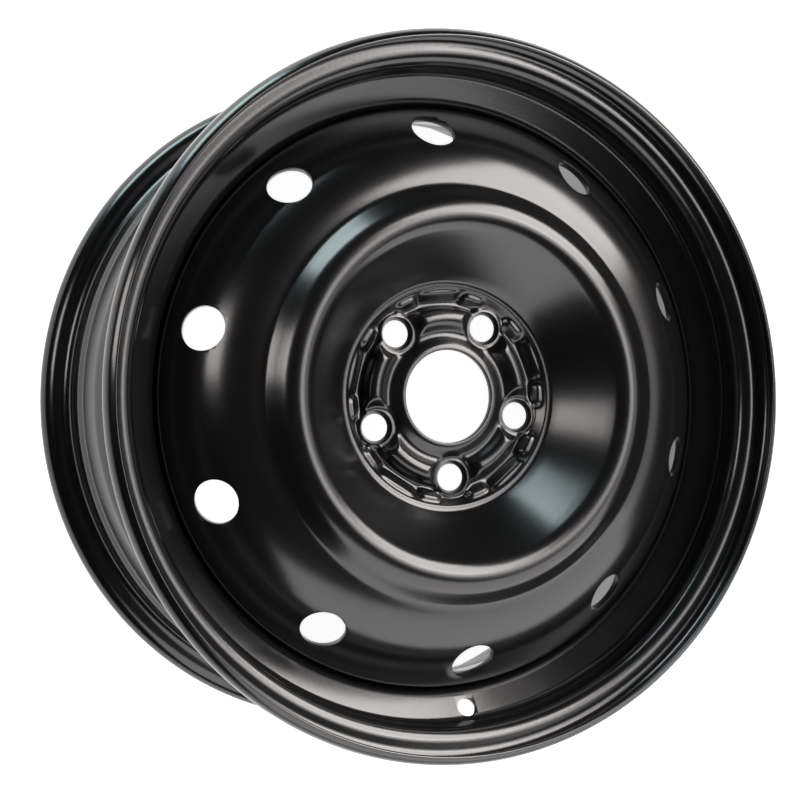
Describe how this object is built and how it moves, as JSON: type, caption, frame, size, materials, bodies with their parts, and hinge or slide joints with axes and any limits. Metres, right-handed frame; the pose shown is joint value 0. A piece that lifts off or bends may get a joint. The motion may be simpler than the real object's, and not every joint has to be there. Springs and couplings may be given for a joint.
{
  "type": "steel wheel rim",
  "caption": "Pressed steel road wheel: a rolled drop-centre rim welded round a domed disc with round vents, a deep hub bowl, conical nut seats and a centre bore.",
  "frame": {"origin": "On the wheel's axis, in the plane of the hub's mounting face.", "axes": "+Z runs along the axis towards the outboard face. -Y passes through the valve hole and one nut hole, and X completes the frame."},
  "size_m": [0.4401, 0.4402, 0.2012],
  "materials": {
    "black_paint": "gloss"
  },
  "bodies": {
    "root": {"rim": "black_paint", "disc": "black_paint", "weld_beads": "black_paint"}
  },
  "joints": []
}
